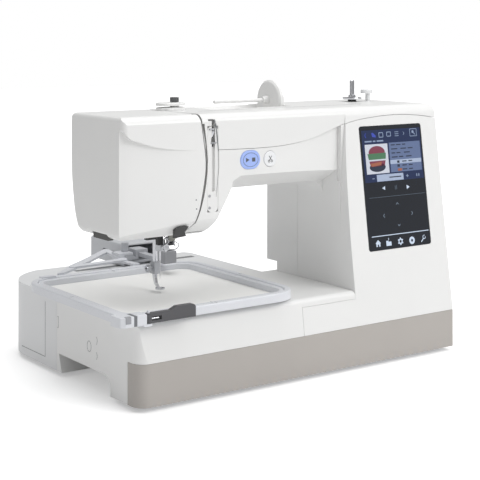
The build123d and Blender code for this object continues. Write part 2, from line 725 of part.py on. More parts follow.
save(pulley(*TIMING_X, SHAFT_Y, SHAFT_Z, TIMING_R, SHAFT_R, teeth=20), "upper_belt_pulley")
save(pulley(*DRIVE_X, SHAFT_Y, SHAFT_Z, DRIVE_R, SHAFT_R, teeth=60), "drive_pulley")
save(pulley(*TIMING_X, SHAFT_Y, LOW_Z, TIMING_R, LOW_R, teeth=20), "lower_belt_pulley")
save(belt(*TIMING_X, (SHAFT_Y, SHAFT_Z), TIMING_R, (SHAFT_Y, LOW_Z), TIMING_R), "timing_belt")
save(belt(*DRIVE_X, (SHAFT_Y, SHAFT_Z), DRIVE_R, (MOTOR_Y, MOTOR_Z), MOTOR_PULLEY_R),
     "drive_belt")

with BuildPart() as motor:
    add(rod_x(330, 396, MOTOR_Y, MOTOR_Z, 24))
    add(rod_x(396, 400, MOTOR_Y, MOTOR_Z, 14, MOTOR_SHAFT_R + FIT))
    cut(rod_x(372, 396.5, MOTOR_Y, MOTOR_Z, MOTOR_SHAFT_R + FIT))
    add(block(340, 386, 105, 114.8, 136, 164))       # mounting pad against the column plate
    chamfer(motor.faces().sort_by(Axis.X)[0].edges(), length=2)
save(motor.part, "main_motor")

with BuildPart() as motor_pulley:
    add(rod_x(374, 418, MOTOR_Y, MOTOR_Z, MOTOR_SHAFT_R))
    add(pulley(*DRIVE_X, MOTOR_Y, MOTOR_Z, MOTOR_PULLEY_R, 2.9, teeth=20))
save(motor_pulley.part, "motor_pulley")

# ---------------------------------------------------------------- lower shaft and hook
save(rod_x(78, 416, SHAFT_Y, LOW_Z, LOW_R), "lower_shaft")


def gear(plane, radius, teeth, width, bore):
    """Spur gear with plain rectangular teeth."""
    with BuildPart() as wheel:
        with BuildSketch(plane):
            Circle(radius - 1.6)
            with PolarLocations(radius - 1.0, teeth):
                Rectangle(2.4, 2.0 * math.pi * radius / teeth * 0.36)
            Circle(bore, mode=Mode.SUBTRACT)
        extrude(amount=width)
    return wheel.part


save(gear(at_x(84, SHAFT_Y, LOW_Z), radius=15.3, teeth=32, width=12, bore=LOW_R), "shaft_gear")
save(gear(at_z(38.5, NEEDLE_X, HOOK_Y), radius=7.8, teeth=16, width=11, bore=HOOK_R),
     "hook_gear")

# Profiles round the hook axis: radius, z
HOOK_PROFILE = [(0, 30), (HOOK_R, 30), (HOOK_R, 60), (22.5, 60), (22.5, 76), (20.6, 76),
                (20.6, 62.4), (0, 62.4)]
CASE_PROFILE = [(0, 62.9), (20.1, 62.9), (20.1, 78), (22.0, 78), (22.0, 79.4), (11.2, 79.4),
                (11.2, 64.6), (0, 64.6)]
BOBBIN_PROFILE = [(3.1, 65), (10.2, 65), (10.2, 66), (4.4, 66), (4.4, 75), (10.2, 75),
                  (10.2, 76), (3.1, 76)]

# Hook cup on its stem, with a notch in the rim
with BuildPart() as hook:
    add(turned(HOOK_PROFILE, NEEDLE_X, HOOK_Y))
    with BuildSketch(at_z(70)):
        with Locations((NEEDLE_X + 15, HOOK_Y + 14)):
            Rectangle(12, 8, rotation=40)
    extrude(amount=8, mode=Mode.SUBTRACT)
save(hook.part, "rotary_hook")

save(turned(CASE_PROFILE, NEEDLE_X, HOOK_Y), "bobbin_case")
save(turned(BOBBIN_PROFILE, NEEDLE_X, HOOK_Y), "bobbin")

with BuildPart() as needle_plate:
    add(block(60.2, 119.8, 98.0, 131.8, 84.6, BED_Z))
    fillet(needle_plate.edges().filter_by(Axis.Z), radius=2)
    cut(rod_z(80, 90, NEEDLE_X, NEEDLE_Y, 1.4))
    with Locations(Location(place(68, 126, BED_Z)), Location(place(112, 126, BED_Z))):
        CounterSinkHole(radius=1.6, counter_sink_radius=3.2)
save(needle_plate.part, "needle_plate")

with BuildPart() as hook_cover:
    add(block(60.3, 119.7, 58.3, 97.7, 84.0, BED_Z - 0.2))
    fillet(hook_cover.edges().filter_by(Axis.Z), radius=2)
    cut(block(80, 100, 60.5, 64, 85.4, 88))
save(hook_cover.part, "hook_cover")

# ---------------------------------------------------------------- needle and presser bars
with BuildPart() as needle_bar:
    add(rod_z(148, 281, NEEDLE_X, NEEDLE_Y, NEEDLE_BAR_R))
    add(block(84, 94.2, 99, 111, 219, 231))          # block at the foot of the link
    chamfer(needle_bar.faces().sort_by(Axis.Z)[-1].edges(), length=0.8)
save(needle_bar.part, "needle_bar")

with BuildPart() as needle_clamp:
    add(rod_z(137, 149, NEEDLE_X, NEEDLE_Y, 5.4))
    fillet(needle_clamp.edges(), radius=0.8)
    add(rod_y(94.5, 101.5, NEEDLE_X, 142, 1.6))      # clamp screw and its head
    add(rod_y(91.5, 96.5, NEEDLE_X, 142, 3.6))
    cut(rod_z(147.9, 150, NEEDLE_X, NEEDLE_Y, NEEDLE_BAR_R))
    cut(rod_z(130, 148, NEEDLE_X, NEEDLE_Y, 1.03))
save(needle_clamp.part, "needle_clamp")

with BuildPart() as needle:
    add(rod_z(126, 146, NEEDLE_X, NEEDLE_Y, 1.0))
    add(rod_z(108.4, 126.2, NEEDLE_X, NEEDLE_Y, 0.45))
    add(turned([(0, 105.2), (0.45, 108.5), (0, 108.5)], NEEDLE_X, NEEDLE_Y))
save(needle.part, "needle")

with BuildPart() as presser_bar:
    add(rod_z(113, 200, PRESSER_X, PRESSER_Y, PRESSER_R))
    chamfer(presser_bar.faces().sort_by(Axis.Z)[-1].edges(), length=0.6)
save(presser_bar.part, "presser_bar")

# Foot holder with a fluted screw on its left
HOLDER_Z, SCREW_HEAD_X, SCREW_HEAD_Z = 110, 80.8, 116.5
with BuildPart() as foot_holder:
    with BuildSketch(at_z(HOLDER_Z)):
        with Locations((PRESSER_X, PRESSER_Y)):
            RectangleRounded(8.4, 9.4, 1.2)
    extrude(amount=13)
    chamfer(foot_holder.faces().sort_by(Axis.Z)[-1].edges(), length=0.6)
    add(rod_x(83.5, 89, PRESSER_Y, SCREW_HEAD_Z, 1.8))
    add(rod_x(SCREW_HEAD_X, 84.4, PRESSER_Y, SCREW_HEAD_Z, 4.0))
    cut(rod_z(112.9, 124, PRESSER_X, PRESSER_Y, PRESSER_R))
    cut_flutes(at_x(SCREW_HEAD_X, PRESSER_Y, SCREW_HEAD_Z),
               ring_radius=4.35, count=14, radius=0.6, height=3.6)
save(foot_holder.part, "foot_holder")

# Ring round the needle on a shank that rises to the foot holder
SHANK = [(108.4, 95.2), (108.4, 96.4), (112.6, 100.5), (114.0, 106), (114.2, 109.95),
         (119.5, 109.95), (118.4, 105), (115.6, 99.4), (110.2, 95.2)]   # y, z
with BuildPart() as foot:
    with BuildSketch(at_z(95)):
        with Locations((NEEDLE_X, NEEDLE_Y)):
            Circle(5.2)
            Circle(2.6, mode=Mode.SUBTRACT)
    extrude(amount=1.4)
    add(prism(at_x(NEEDLE_X - 1.1), SHANK, 3.0))
save(foot.part, "embroidery_foot")

with BuildPart() as threader:
    add(rod_z(147, 196, THREADER_X, THREADER_Y, THREADER_R))
    add(block(97.5, 104, 97.6, 104.6, 142.6, 151.6))
    add(rod_y(94.4, 98, 99.5, 146, 1.0))
save(threader.part, "needle_threader")

with BuildPart() as take_up:
    with BuildSketch(at_x(108.9)):
        with Locations((TAKE_UP_Y, TAKE_UP_Z)):
            Circle(5)
        with BuildLine():
            Polyline((84, 252), (52, 258), (33.5, 264.5), (31.6, 270.5), (36, 273.2), (54, 266),
                     (84, 260), close=True)
        make_face()
        with Locations((TAKE_UP_Y, TAKE_UP_Z)):
            Circle(TAKE_UP_PIN_R + FIT, mode=Mode.SUBTRACT)
        with Locations((35.6, 268.8)):
            Circle(1.3, mode=Mode.SUBTRACT)          # thread eye
    extrude(amount=2.2)
save(take_up.part, "take_up_lever")

# ---------------------------------------------------------------- on the top cover
with BuildPart() as spool_pin:
    add(rod_x(168, PIVOT_X, SPOOL_Y, SPOOL_Z, 2.2))
    fillet(spool_pin.faces().sort_by(Axis.X)[0].edges(), radius=1.2)
    add(rod_x(236, PIVOT_X, SPOOL_Y, SPOOL_Z, 2.7))          # shoulder under the disc
    add(rod_y(111.5, 120.5, PIVOT_X, SPOOL_Z, 3.6))
    cut(rod_y(111, 121, PIVOT_X, SPOOL_Z, 1.5 + FIT))
save(spool_pin.part, "spool_pin")

DISC_PROFILE = [(236.2, 2.75), (236.2, 3.9), (243.4, 5.2), (244.6, 21), (246.4, 23),
                (250.2, 23), (251, 22), (251, 2.75)]   # x, radius
save(turned(DISC_PROFILE, 0, SPOOL_Y, SPOOL_Z, direction=(1, 0, 0)), "spool_disc")

WINDER_PROFILE = [(0, 270), (8, 270), (8, 276), (3.4, 276), (3.4, 291.8), (11.6, 292.2),
                  (12, 293.4), (11.6, 294.2), (4.6, 294.6), (4.4, 297), (3, 297.4), (3, 314.4),
                  (2.2, 315.4), (0, 315.6)]            # radius, z
save(turned(WINDER_PROFILE, *WINDER), "winder_spindle")

with BuildPart() as stopper:
    add(rod_z(283, 299.5, *STOPPER, 3.0))
    with BuildSketch(at_z(298.6)):
        with Locations((STOPPER[0] - 2, STOPPER[1])):
            Ellipse(8.2, 6.4)
    extrude(amount=5)
    fillet(stopper.faces().sort_by(Axis.Z)[-1].edges(), radius=1.6)
save(stopper.part, "winder_stopper")

# Lower and upper plates of the thread guide, joined under the knob
with BuildPart() as guide:
    with BuildSketch(at_z(TOP_Z + 0.1)):
        with Locations(PLATE):
            SlotOverall(34, 20)
    extrude(amount=3.2)
    fillet(guide.faces().sort_by(Axis.Z)[-1].edges(), radius=0.8)
    with BuildSketch(at_z(TOP_Z + 5.2)):
        with Locations(PLATE):
            SlotOverall(35, 21)
    extrude(amount=3.4)
    fillet(guide.faces().sort_by(Axis.Z)[-1].edges(), radius=1.6)
    add(rod_z(TOP_Z + 1, TOP_Z + 6, *KNOB, 5))
    cut(rod_z(TOP_Z + 2.2, TOP_Z + 30, *KNOB, 2.28))
save(guide.part, "pretension_guide")

KNOB_Z = TOP_Z + 9.0
with BuildPart() as knob:
    add(rod_z(KNOB_Z, TOP_Z + 14.0, *KNOB, 5.0))
    cut_flutes(at_z(KNOB_Z, *KNOB), ring_radius=5.3, count=20, radius=0.55, height=6)
    add(rod_z(TOP_Z + 2.6, TOP_Z + 9.2, *KNOB, 2.2))
save(knob.part, "pretension_knob")

# ---------------------------------------------------------------- embroidery unit
with BuildPart() as guide_rods:
    for rod_at in GUIDE_Y:
        add(rod_x(34, 261, rod_at, GUIDE_Z, GUIDE_R))
save(guide_rods.part, "x_guide_rods")

with BuildPart() as x_motor:
    add(block(60, 100, 190, 230, 8.2, 46))
    fillet(x_motor.edges().filter_by(Axis.Z), radius=4)
    add(rod_z(46, 60, 80, 210, 2.5))
    add(rod_z(48, 58, 80, 210, 6.0))
save(x_motor.part, "x_step_motor")

with BuildPart() as x_slider:
    add(block(152, 184, 254, 308, 50, 66))           # body on the guide rods
    for rod_at in GUIDE_Y:
        cut(rod_x(150, 186, rod_at, GUIDE_Z, GUIDE_R + FIT))
    add(block(160, 180, SLOT_Y0 + 0.8, SLOT_Y1 - 0.8, 65, 91))   # neck through the slot
    add(block(147, 202, 278, 357, 89.6, 92.4))       # plate under the arm housing
    add(block(152, 156, 280, 352, 92, RAIL_Z0 + 0.5))
    add(block(RAIL_X0, RAIL_X1, 201, 352, RAIL_Z0, RAIL_Z1))     # y rail
save(x_slider.part, "x_slider")

with BuildPart() as arm_nose:
    add(block(145, 162, 183.5, 201, 104, 118))
    fillet(arm_nose.edges().filter_by(Axis.Z), radius=1.5)
    chamfer(arm_nose.faces().sort_by(Axis.Z)[-1].edges(), length=0.6)
    cut(block(149.5, 158.5, 186, 204, 114, 119))
save(arm_nose.part, "arm_end_block")

with BuildPart() as housing:
    with BuildSketch(at_z(88)):
        with Locations((174, 317.5)):
            RectangleRounded(62, 85, 4)
    extrude(amount=26.5)
    fillet(housing.faces().sort_by(Axis.Z)[-1].edges(), radius=2.5)
    cut(block(145.4, 202.6, 270, 357.6, 80, 112.1))
    cut(block(140, 147, 270, 326, 99.2, 103.0))
save(housing.part, "y_arm_housing")

# Carriage on the y rail, with a peg on its left for the hoop bracket
with BuildPart() as carriage:
    add(block(146, 162.6, 250, 270, 99.6, 111))
    cut(block(RAIL_X0 - FIT, RAIL_X1 + FIT, 249, 271, 99, RAIL_Z1 + FIT))
    add(block(130.8, 146.5, 250, 270, 99.6, 102.6))
    add(block(130.8, 142.4, 250, 270, 99.6, 106))
    add(rod_z(105, 119.5, PEG_X, PEG_Y, 4.4))
    chamfer(carriage.faces().sort_by(Axis.Z)[-1].edges(), length=0.6)
save(carriage.part, "hoop_carriage")


# ---------------------------------------------------------------- hoop
def hoop_outline(grow):
    """Outer outline of the hoop: tight corner at the clamp, wide corners elsewhere."""
    x0, x1, y0, y1 = HOOP
    with BuildSketch(Plane.XY) as outline:
        with BuildLine():
            Polyline((x0, y0), (x1, y0), (x1, y1), (x0, y1), close=True)
        make_face()
        fillet(corners(outline, lambda x, y: x < 0 and y < 0), radius=12)
        fillet(corners(outline, lambda x, y: x > 150 or y > 180), radius=34)
        if grow:
            offset(amount=grow)
    return outline.sketch


# Outer ring, split at the front left corner, where the clamp pin stands
with BuildPart() as outer_hoop:
    with BuildSketch(at_z(HOOP_Z)):
        add(hoop_outline(0))
        add(hoop_outline(-HOOP_RAIL), mode=Mode.SUBTRACT)
    extrude(amount=9)
    fillet(outer_hoop.faces().sort_by(Axis.Z)[-1].edges(), radius=1.6)
    add(block(-19, 3, -11, 3.4, HOOP_Z, HOOP_Z + 10))
    add(block(3, 20, 213.6, 222, HOOP_Z, HOOP_Z + 10))
    add(block(0, 9, -11, -4, 88.4, 90.6))
    add(rod_z(89, 103.4, SCREW_X, SCREW_Y, SCREW_R))
    cut(block(-2.2, -0.8, -12, 4, 85, 110))
save(outer_hoop.part, "outer_hoop")

OPENING_W, OPENING_D, OPENING_R = 193, 195, 14   # opening of the inner ring
FABRIC_GAP = 0.1                                 # fabric smaller than the opening by this
with BuildPart() as inner_hoop:
    with BuildSketch(at_z(HOOP_Z + 0.2)):
        add(hoop_outline(-HOOP_RAIL - 0.1))
        with Locations(HOOP_MID):
            RectangleRounded(OPENING_W, OPENING_D, OPENING_R, mode=Mode.SUBTRACT)
    extrude(amount=7.6)
    fillet(inner_hoop.faces().sort_by(Axis.Z)[-1].edges(), radius=1.2)
save(inner_hoop.part, "inner_hoop")

with BuildPart() as fabric:
    with BuildSketch(at_z(HOOP_Z + 0.7)):
        with Locations(HOOP_MID):
            RectangleRounded(OPENING_W - FABRIC_GAP, OPENING_D - FABRIC_GAP,
                             OPENING_R - FABRIC_GAP)
        with Locations((NEEDLE_X, NEEDLE_Y)):
            Circle(1.3, mode=Mode.SUBTRACT)
    extrude(amount=0.6)
save(fabric.part, "hooped_fabric")

# Clamp lever along the front of the hoop, turning on the pin
with BuildPart() as lever:
    with BuildSketch(at_y(-11)) as view:
        with BuildLine():
            Polyline((3.4, 91), (60, 91), (60, 104), (38, 104), (31, 100.8), (3.4, 100.8),
                     close=True)
        make_face()
        fillet(corners(view, lambda x, z: x > 50 and z > 100), radius=4)
        fillet(corners(view, lambda x, z: 30 < x < 40 and z > 99), radius=3)
    extrude(amount=-6)
    with BuildSketch(at_z(90)):
        with BuildLine():
            Polyline((SCREW_X, -11), (62, -11), (62, -5), (SCREW_X, -5), close=True)
        make_face()
        with Locations((SCREW_X, SCREW_Y)):
            Circle(3.0)
    extrude(amount=20, mode=Mode.INTERSECT)
    cut(rod_z(90, 110, SCREW_X, SCREW_Y, SCREW_R + FIT))
    cut(block(8.5, 20, -12, -9.4, 93.6, 97.4))
save(lever.part, "hoop_lever")

# ---------------------------------------------------------------- hoop bracket
# Corners x, y, z of the sloping plate: front left, front right, rear right, rear left
PLATE_CORNERS = [(57, 245, 99.5), (126.6, 246, 100.4), (126.4, 288, 105), (79.5, 258, 100.9)]
# Corners of the opening in it, in the same order
PLATE_OPENING = [(72, 248.2, 99.8), (122, 249.4, 100.6), (122, 280, 104.2), (84, 254.4, 100.6)]

front_left, front_right, rear_right = [Vector(*place(*c)) for c in PLATE_CORNERS[:3]]
bracket_plane = Plane(origin=front_right, x_dir=front_left - front_right,
                      z_dir=(rear_right - front_right).cross(front_left - front_right))


def on_bracket(points):
    """The points in the local x and y of the sloping plate."""
    return [tuple(bracket_plane.to_local_coords(Vector(*place(*point))))[:2] for point in points]


with BuildPart() as bracket:
    with BuildSketch(bracket_plane):
        with BuildLine():
            Polyline(*on_bracket(PLATE_CORNERS), close=True)
        make_face()
        offset(amount=4.1)
        with BuildLine(mode=Mode.PRIVATE) as opening:
            Polyline(*on_bracket(PLATE_OPENING), close=True)
        add(make_face(opening.line.edges(), mode=Mode.PRIVATE), mode=Mode.SUBTRACT)
    extrude(amount=2.6)
    # two straps from the back of the hoop
    with BuildSketch(at_z(98.2)):
        with BuildLine():
            Polyline((25, 221), (34, 221), (61, 242), (57, 249), (51, 247), close=True)
        make_face()
        with BuildLine():
            Polyline((124.6, 221), (133.6, 221), (130.6, 246), (122.6, 246), close=True)
        make_face()
    extrude(amount=2.6)
    # tongue that sits on the carriage peg
    add(block(123, 130.7, 251, 269, 100.2, 108.4))
    add(block(123, 142.2, 251, 269, 106.05, 108.4))
    cut(rod_z(100, 110, PEG_X, PEG_Y, 4.45))
    cut(block(130.75, 150, 249, 300, 95, 106.04))
save(bracket.part, "hoop_bracket")
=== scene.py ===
import math
import random

import bpy
from mathutils import Matrix, Vector


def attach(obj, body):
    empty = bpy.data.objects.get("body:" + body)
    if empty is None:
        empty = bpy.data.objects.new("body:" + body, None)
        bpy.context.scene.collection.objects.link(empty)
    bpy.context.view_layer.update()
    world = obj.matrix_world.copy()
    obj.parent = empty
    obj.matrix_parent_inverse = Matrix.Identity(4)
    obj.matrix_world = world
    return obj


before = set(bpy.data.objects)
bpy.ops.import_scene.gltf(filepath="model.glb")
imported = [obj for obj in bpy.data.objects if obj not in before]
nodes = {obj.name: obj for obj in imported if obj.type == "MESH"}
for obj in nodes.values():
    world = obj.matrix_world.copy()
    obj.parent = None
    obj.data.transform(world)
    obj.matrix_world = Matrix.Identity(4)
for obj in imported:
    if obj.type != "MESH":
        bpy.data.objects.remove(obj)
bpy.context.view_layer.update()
scene = bpy.context.scene

LEFT, FRONT = -0.214, -0.1745          # machine datum in the row frame, metres
MM = 0.001


def P(x, y, z):
    """Machine datum in mm to the row frame in metres."""
    return Vector((x * MM + LEFT, y * MM + FRONT, z * MM))


# ------------------------------------------------------------------ materials
def lin(c):
    return c / 12.92 if c <= 0.04045 else ((c + 0.055) / 1.055) ** 2.4


def srgb(r, g, b):
    return (lin(r / 255), lin(g / 255), lin(b / 255), 1.0)


def base(name):
    m = bpy.data.materials.new(name)
    m.use_nodes = True
    nt = m.node_tree
    bsdf = next(n for n in nt.nodes if n.type == "BSDF_PRINCIPLED")
    tex = nt.nodes.new("ShaderNodeTexCoord")
    return m, nt, bsdf, tex


def ramp(nt, src, lo, hi, a=0.3, b=0.7):
    r = nt.nodes.new("ShaderNodeMapRange")
    r.inputs["From Min"].default_value = a
    r.inputs["From Max"].default_value = b
    r.inputs["To Min"].default_value = lo
    r.inputs["To Max"].default_value = hi
    nt.links.new(src, r.inputs["Value"])
    return r.outputs["Result"]


def noise(nt, tex, scale, detail=3.0, stretch=None):
    n = nt.nodes.new("ShaderNodeTexNoise")
    n.inputs["Scale"].default_value = scale
    n.inputs["Detail"].default_value = detail
    src = tex.outputs["Object"]
    if stretch:
        mp = nt.nodes.new("ShaderNodeMapping")
        mp.inputs["Scale"].default_value = stretch
        nt.links.new(src, mp.inputs["Vector"])
        src = mp.outputs["Vector"]
    nt.links.new(src, n.inputs["Vector"])
    return n.outputs["Fac"]


def mixed(nt, bsdf, fac, c0, c1):
    mx = nt.nodes.new("ShaderNodeMix")
    mx.data_type = "RGBA"
    mx.inputs[6].default_value = c0
    mx.inputs[7].default_value = c1
    nt.links.new(fac, mx.inputs[0])
    nt.links.new(mx.outputs[2], bsdf.inputs["Base Color"])


def bump(nt, bsdf, height, strength, dist):
    b = nt.nodes.new("ShaderNodeBump")
    b.inputs["Strength"].default_value = strength
    b.inputs["Distance"].default_value = dist
    nt.links.new(height, b.inputs["Height"])
    nt.links.new(b.outputs["Normal"], bsdf.inputs["Normal"])


def shade(c, k):
    return (c[0] * k, c[1] * k, c[2] * k, 1.0)


def moulded(name, col, rough=0.35, grain=900.0, strength=0.06, coat=0.0, spread=0.03):
    """Injection moulded plastic: fine spark texture, slow tone change, uneven gloss."""
    m, nt, bsdf, tex = base(name)
    big = noise(nt, tex, 14.0, 2.0)
    fine = noise(nt, tex, grain, 4.0)
    mixed(nt, bsdf, ramp(nt, big, 0, 1), shade(col, 1 - spread), shade(col, 1.0))
    nt.links.new(ramp(nt, fine, rough - 0.04, rough + 0.06), bsdf.inputs["Roughness"])
    bump(nt, bsdf, fine, strength, 0.00012)
    bsdf.inputs["Coat Weight"].default_value = coat
    bsdf.inputs["Coat Roughness"].default_value = 0.12
    return m


def metal(name, col, rough=0.25, stretch=(1, 1, 1), scale=500.0, strength=0.05, spread=0.12):
    m, nt, bsdf, tex = base(name)
    bsdf.inputs["Metallic"].default_value = 1.0
    n = noise(nt, tex, scale, 3.0, stretch)
    mixed(nt, bsdf, ramp(nt, n, 0, 1), shade(col, 1 - spread), col)
    nt.links.new(ramp(nt, n, rough * 0.7, rough * 1.3), bsdf.inputs["Roughness"])
    bump(nt, bsdf, n, strength, 0.00008)
    return m


def cast_iron(name, col):
    m, nt, bsdf, tex = base(name)
    n = noise(nt, tex, 420.0, 6.0)
    big = noise(nt, tex, 30.0, 2.0)
    mixed(nt, bsdf, ramp(nt, big, 0, 1), shade(col, 0.8), col)
    bsdf.inputs["Metallic"].default_value = 0.5
    nt.links.new(ramp(nt, n, 0.45, 0.7), bsdf.inputs["Roughness"])
    bump(nt, bsdf, n, 0.35, 0.0004)
    return m


def woven(name, col):
    """Plain weave: warp and weft threads as two crossed wave bands."""
    m, nt, bsdf, tex = base(name)
    waves = []
    for axis in ("X", "Y"):
        w = nt.nodes.new("ShaderNodeTexWave")
        w.bands_direction = axis
        w.inputs["Scale"].default_value = 420.0
        w.inputs["Distortion"].default_value = 0.6
        w.inputs["Detail"].default_value = 1.0
        nt.links.new(tex.outputs["Object"], w.inputs["Vector"])
        waves.append(w.outputs["Fac"])
    mul = nt.nodes.new("ShaderNodeMath")
    mul.operation = "MULTIPLY"
    nt.links.new(waves[0], mul.inputs[0])
    nt.links.new(waves[1], mul.inputs[1])
    big = noise(nt, tex, 9.0, 2.0)
    mixed(nt, bsdf, ramp(nt, big, 0, 1), shade(col, 0.965), col)
    bsdf.inputs["Roughness"].default_value = 0.85
    bsdf.inputs["Sheen Weight"].default_value = 0.25
    bump(nt, bsdf, mul.outputs[0], 0.35, 0.00025)
    return m


def lit(name, col, power=1.0, rough=0.3):
    """Printed or back-lit mark on the display."""
    m, nt, bsdf, tex = base(name)
    n = noise(nt, tex, 700.0, 2.0)
    mixed(nt, bsdf, ramp(nt, n, 0, 1), shade(col, 0.9), col)
    bsdf.inputs["Emission Color"].default_value = col
    bsdf.inputs["Emission Strength"].default_value = power
    bsdf.inputs["Roughness"].default_value = rough
    bump(nt, bsdf, n, 0.02, 0.00005)
    return m


def clear_cover(name, col, alpha):
    m = moulded(name, col, 0.12, 600, 0.02, 0.4)
    bsdf = next(n for n in m.node_tree.nodes if n.type == "BSDF_PRINCIPLED")
    bsdf.inputs["Alpha"].default_value = alpha
    return m


WHITE = moulded("casing_white", srgb(238, 238, 237), 0.36, 900, 0.05, 0.12, 0.02)
WHITE_MATT = moulded("unit_white", srgb(233, 234, 235), 0.42, 800, 0.06, 0.05, 0.02)
TAUPE = moulded("band_taupe", srgb(182, 177, 172), 0.4, 700, 0.08, 0.0, 0.04)
GREY = moulded("moulded_grey", srgb(206, 208, 212), 0.42, 800, 0.07, 0.0, 0.04)
GREY_MID = moulded("carriage_grey", srgb(190, 192, 197), 0.42, 800, 0.07, 0.0, 0.05)
HOOP = moulded("hoop_grey", srgb(224, 226, 231), 0.3, 900, 0.05, 0.1, 0.03)
LEVER = moulded("lever_dark", srgb(84, 84, 87), 0.38, 700, 0.08, 0.05, 0.06)
NOSE = moulded("nose_dark", srgb(160, 161, 166), 0.45, 700, 0.08, 0.0, 0.05)
# black for plastic parts and print, also used as painted shade in the latch pocket and the carriage nose slot
BLACK = moulded("black_and_painted_shade", srgb(38, 38, 40), 0.45, 700, 0.1, 0.0, 0.08)
# dark grey for the threader, also used as painted shade at the back of the thread strip slot
DARK = moulded("dark_part_and_slot_shade", srgb(72, 72, 76), 0.5, 700, 0.1, 0.0, 0.08)
GUARD = moulded("guard_panel", srgb(66, 66, 66), 0.45, 700, 0.08, 0.0, 0.06)
OLIVE = moulded("guard_steel", srgb(150, 150, 142), 0.4, 700, 0.08, 0.1, 0.08)
# dark grey for small dark parts, also used as painted shade along the face cover seam and under the head
GAP_GREY_AND_SHADE = moulded("dark_grey_and_painted_shade", srgb(98, 98, 97), 0.7, 500, 0.1, 0.0, 0.1)
# soft grey for painted shade along the thread strip's lower edge
SOFT_SEAM_SHADE = moulded("soft_seam_shade", srgb(172, 172, 171), 0.7, 500, 0.1, 0.0, 0.06)
SEAM = moulded("seam_shadow", srgb(120, 122, 126), 0.7, 500, 0.1, 0.0, 0.1)
CHROME = metal("chrome", srgb(215, 216, 220), 0.12, (1, 1, 1), 700, 0.02, 0.06)
STEEL = metal("ground_steel", srgb(185, 186, 190), 0.28, (1, 8, 8), 260, 0.08, 0.15)
KNOB = metal("knurled_knob", srgb(128, 129, 130), 0.4, (1, 1, 1), 500, 0.1, 0.2)
SATIN = metal("satin_strip", srgb(206, 208, 212), 0.34, (6, 6, 1), 420, 0.06, 0.1)
CAST = cast_iron("cast_frame", srgb(150, 152, 155))
RUBBER = moulded("rubber", srgb(52, 52, 54), 0.75, 400, 0.2, 0.0, 0.12)
MOTOR = moulded("motor_paint", srgb(46, 46, 50), 0.35, 500, 0.08, 0.2, 0.08)
FABRIC = woven("cotton", srgb(252, 252, 250))
GLASS = moulded("screen_glass", srgb(10, 18, 30), 0.07, 300, 0.004, 0.8, 0.06)
BUTTON_BLUE = lit("button_blue", srgb(158, 180, 236), 0.18, 0.25)
BUTTON_WHITE = moulded("button_white", srgb(242, 243, 245), 0.25, 900, 0.03, 0.3, 0.02)
CLEAR = clear_cover("clear_cover", srgb(205, 210, 214), 0.55)
BOARD = moulded("display_module", srgb(60, 64, 70), 0.5, 500, 0.1, 0.0, 0.08)
NAVY = lit("lcd_navy", srgb(26, 38, 70), 0.4)
PANEL = lit("lcd_panel", srgb(88, 102, 134), 0.35)
PANEL_LIGHT = lit("lcd_light", srgb(150, 162, 184), 0.35)
THUMB = lit("lcd_thumb", srgb(186, 190, 200), 0.3)
ICON = lit("lcd_icon", srgb(176, 188, 204), 0.5)
ICON_DIM = lit("lcd_icon_dim", srgb(122, 136, 160), 0.45)
DIM = lit("mark_dim", srgb(78, 88, 100), 0.3)
ARROW = lit("mark_arrow", srgb(104, 116, 130), 0.35)
BLUEMARK = lit("lcd_blue", srgb(58, 72, 160), 0.35)
AMBER = lit("lcd_amber", srgb(150, 92, 72), 0.25)
GREEN = lit("lcd_green", srgb(72, 112, 84), 0.25)
RED = lit("lcd_red", srgb(118, 58, 74), 0.25)
DARKMARK = lit("lcd_dark", srgb(44, 50, 66), 0.2)
PRINT_GREY = moulded("print_grey", srgb(92, 96, 104), 0.5, 600, 0.03, 0.0, 0.05)
THREAD = moulded("thread", srgb(240, 240, 240), 0.6, 2000, 0.3, 0.0, 0.06)

PAINT = {
    "front_band": TAUPE, "bed_cover": WHITE, "unit_cover": WHITE_MATT, "face_cover": WHITE, "top_cover": WHITE,
    "front_cover": WHITE, "rear_cover": WHITE, "thread_guide_strip": WHITE, "base_tray": GREY, "rubber_feet": RUBBER,
    "touch_glass": GLASS, "lcd_module": BOARD, "start_stop_button": BUTTON_BLUE, "thread_cut_button": BUTTON_WHITE,
    "main_frame": CAST, "upper_shaft": STEEL, "crank_disc": STEEL, "connecting_link": STEEL, "hand_wheel": WHITE,
    "upper_belt_pulley": SATIN, "drive_pulley": BLACK, "lower_belt_pulley": SATIN, "timing_belt": RUBBER,
    "lower_shaft": STEEL, "shaft_gear": STEEL, "hook_gear": STEEL, "rotary_hook": CHROME, "bobbin_case": BLACK,
    "bobbin": CLEAR, "needle_plate": CHROME, "hook_cover": CLEAR, "main_motor": MOTOR, "motor_pulley": STEEL,
    "drive_belt": RUBBER, "power_switch": BLACK, "needle_bar": CHROME, "needle_clamp": SATIN, "needle": CHROME,
    "presser_bar": CHROME, "foot_holder": GREY_MID, "embroidery_foot": CHROME, "needle_threader": DARK,
    "take_up_lever": CHROME, "spool_pin": WHITE, "spool_disc": WHITE, "winder_spindle": CHROME,
    "winder_stopper": WHITE_MATT, "pretension_guide": WHITE, "pretension_knob": KNOB, "x_guide_rods": STEEL,
    "x_step_motor": MOTOR, "x_slider": GREY_MID, "arm_end_block": NOSE, "y_arm_housing": GREY,
    "hoop_carriage": GREY_MID, "outer_hoop": HOOP, "inner_hoop": HOOP, "hooped_fabric": FABRIC, "hoop_lever": LEVER,
    "hoop_bracket": HOOP,
}
for name, obj in nodes.items():
    obj.data.materials.clear()
    obj.data.materials.append(PAINT.get(name, GREY))


# ------------------------------------------------------------------ detail pieces
def add_mesh(name, verts, faces, mat, body):
    me = bpy.data.meshes.new(name)
    me.from_pydata([tuple(v) for v in verts], [], faces)
    me.update()
    o = bpy.data.objects.new(name, me)
    scene.collection.objects.link(o)
    me.materials.append(mat)
    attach(o, body)
    return o


